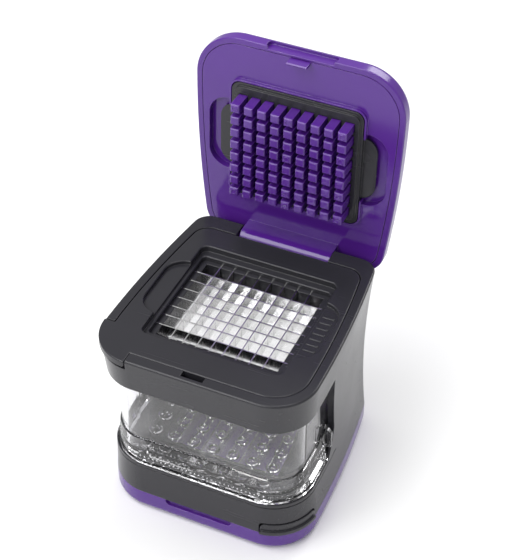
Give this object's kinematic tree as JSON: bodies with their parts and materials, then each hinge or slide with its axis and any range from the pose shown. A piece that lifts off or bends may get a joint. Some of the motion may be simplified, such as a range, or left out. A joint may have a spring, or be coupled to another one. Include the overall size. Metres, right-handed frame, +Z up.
{
  "type": "vegetable dicer",
  "caption": "Hand-held press dicer: hinged pusher lid, lift-out blade grid, clear catch drawer and a hinged base that stores a spare slicing cassette.",
  "frame": {"origin": "middle of the flat underside of the base cover", "axes": "+Z up, +Y towards the lid hinge at the back, +X to the right seen from the front"},
  "size_m": [0.0705, 0.0848, 0.1328],
  "materials": {
    "purple_gloss": "glossy purple ABS",
    "purple_satin": "satin purple ABS",
    "black_satin": "fine satin charcoal ABS",
    "blade_steel": "ground stainless strip",
    "pin_steel": "drawn stainless wire",
    "clear_plastic": "clear styrene-acrylonitrile"
  },
  "bodies": {
    "body": {"housing": "black_satin", "chute": "black_satin", "lid_hinge_pin": "pin_steel", "base_hinge_pin": "pin_steel"},
    "lid": {"lid_shell": "purple_gloss", "lid_panel": "purple_satin", "pusher_grid": "purple_gloss", "lid_screws": "pin_steel"},
    "cleaning_plate": {"cleaning_plate": "black_satin"},
    "dicer_cassette": {"dicer_frame": "black_satin", "dicer_blade_holder": "black_satin", "dicer_long_blade_1": "blade_steel", "dicer_long_blade_2": "blade_steel", "dicer_long_blade_3": "blade_steel", "dicer_long_blade_4": "blade_steel", "dicer_long_blade_5": "blade_steel", "dicer_long_blade_6": "blade_steel", "dicer_long_blade_7": "blade_steel", "dicer_long_blade_8": "blade_steel", "dicer_cross_blade_1": "blade_steel", "dicer_cross_blade_2": "blade_steel", "dicer_cross_blade_3": "blade_steel", "dicer_cross_blade_4": "blade_steel", "dicer_cross_blade_5": "blade_steel", "dicer_cross_blade_6": "blade_steel", "dicer_cross_blade_7": "blade_steel"},
    "drawer": {"drawer": "clear_plastic"},
    "base_cover": {"base_cover": "purple_gloss", "slicer_frame": "black_satin", "slicer_blade_holder": "black_satin", "slicer_blade_1": "blade_steel", "slicer_blade_2": "blade_steel", "slicer_blade_3": "blade_steel", "slicer_blade_4": "blade_steel", "slicer_blade_5": "blade_steel", "slicer_blade_6": "blade_steel", "slicer_blade_7": "blade_steel", "slicer_blade_8": "blade_steel"}
  },
  "joints": [
    {"name": "lid_hinge", "type": "hinge", "parent": "body", "child": "lid", "pos_m": [0, 0.0355, 0.0626], "axis": [1, 0, 0], "range_deg": [0, 92.4]},
    {"name": "cleaning_plate_slide", "type": "slide", "parent": "lid", "child": "cleaning_plate", "axis": [0, 0.9991, -0.0419], "range_m": [-0.005, 0]},
    {"name": "drawer_slide", "type": "slide", "parent": "body", "child": "drawer", "axis": [0, -1, 0], "range_m": [0, 0.06]},
    {"name": "cassette_lift", "type": "slide", "parent": "body", "child": "dicer_cassette", "axis": [0, 0, -1], "range_m": [-0.014, 0]},
    {"name": "base_cover_hinge", "type": "hinge", "parent": "body", "child": "base_cover", "pos_m": [0, 0.037, 0.0076], "axis": [1, 0, 0], "range_deg": [0, 100]}
  ]
}
